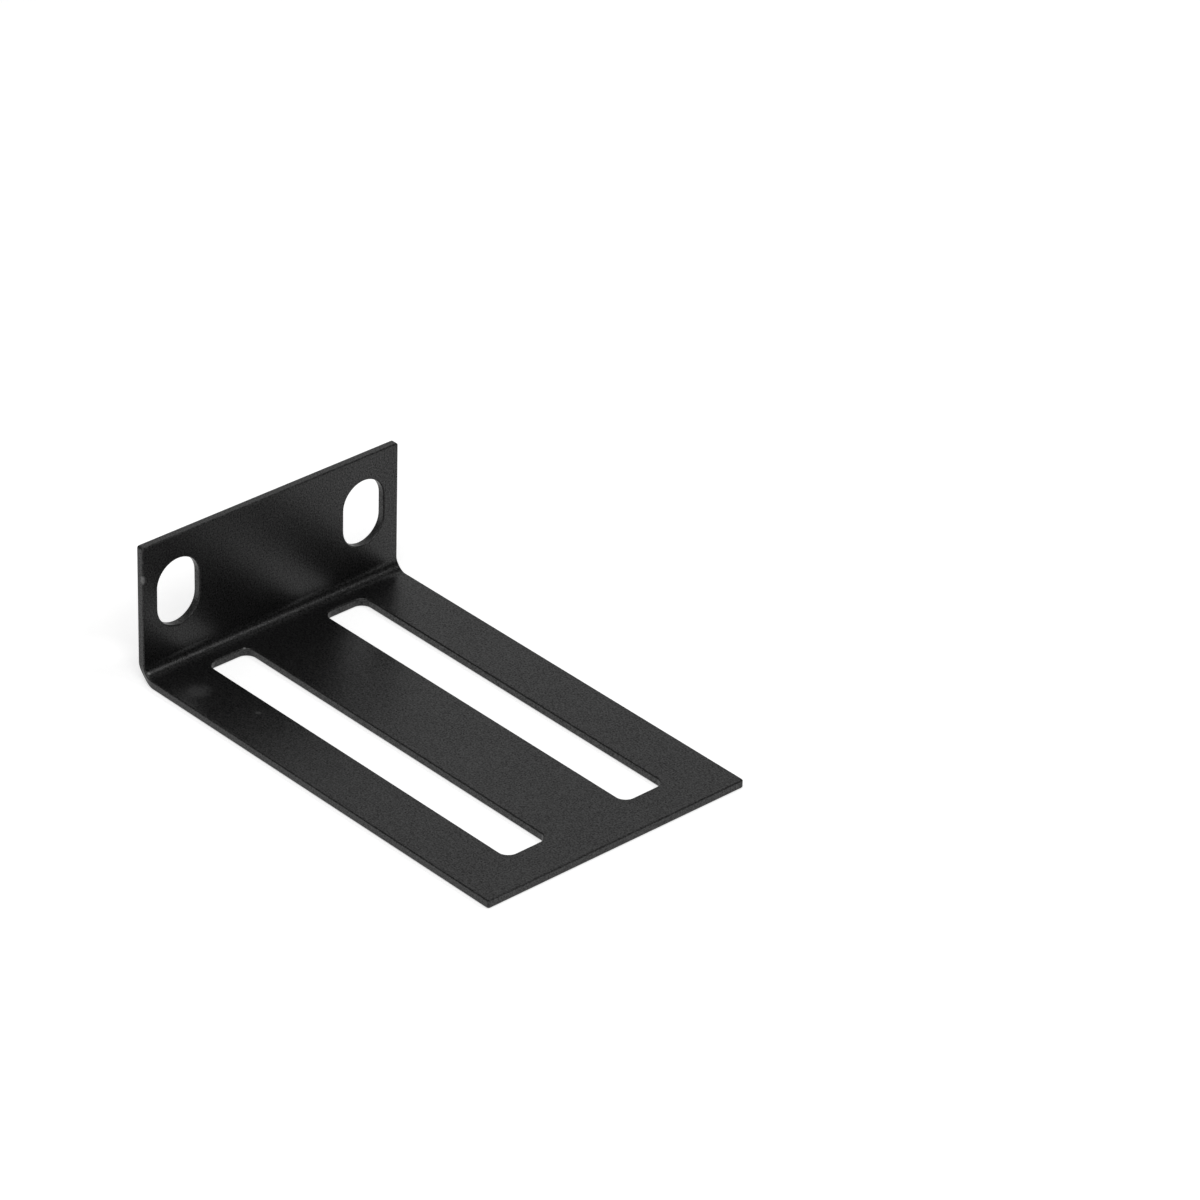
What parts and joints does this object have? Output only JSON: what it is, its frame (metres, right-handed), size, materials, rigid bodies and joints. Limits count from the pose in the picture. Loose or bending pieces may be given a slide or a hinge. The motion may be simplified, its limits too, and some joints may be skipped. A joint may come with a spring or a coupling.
{
  "type": "rack mount ear bracket",
  "caption": "Folded steel angle that holds a device in a rack: slotted leg for the device, short flange with slots for the rack screws.",
  "frame": {"origin": "under the middle of the bracket's box, on the plane of the leg's outer face", "axes": "+X along the leg, away from the flange; +Y along the fold; +Z from the leg's outer face to the flange's free edge"},
  "size_m": [0.07, 0.0438, 0.0207],
  "materials": {
    "black_powder_coat": "satin"
  },
  "bodies": {
    "root": {"ear_bracket": "black_powder_coat"}
  },
  "joints": []
}
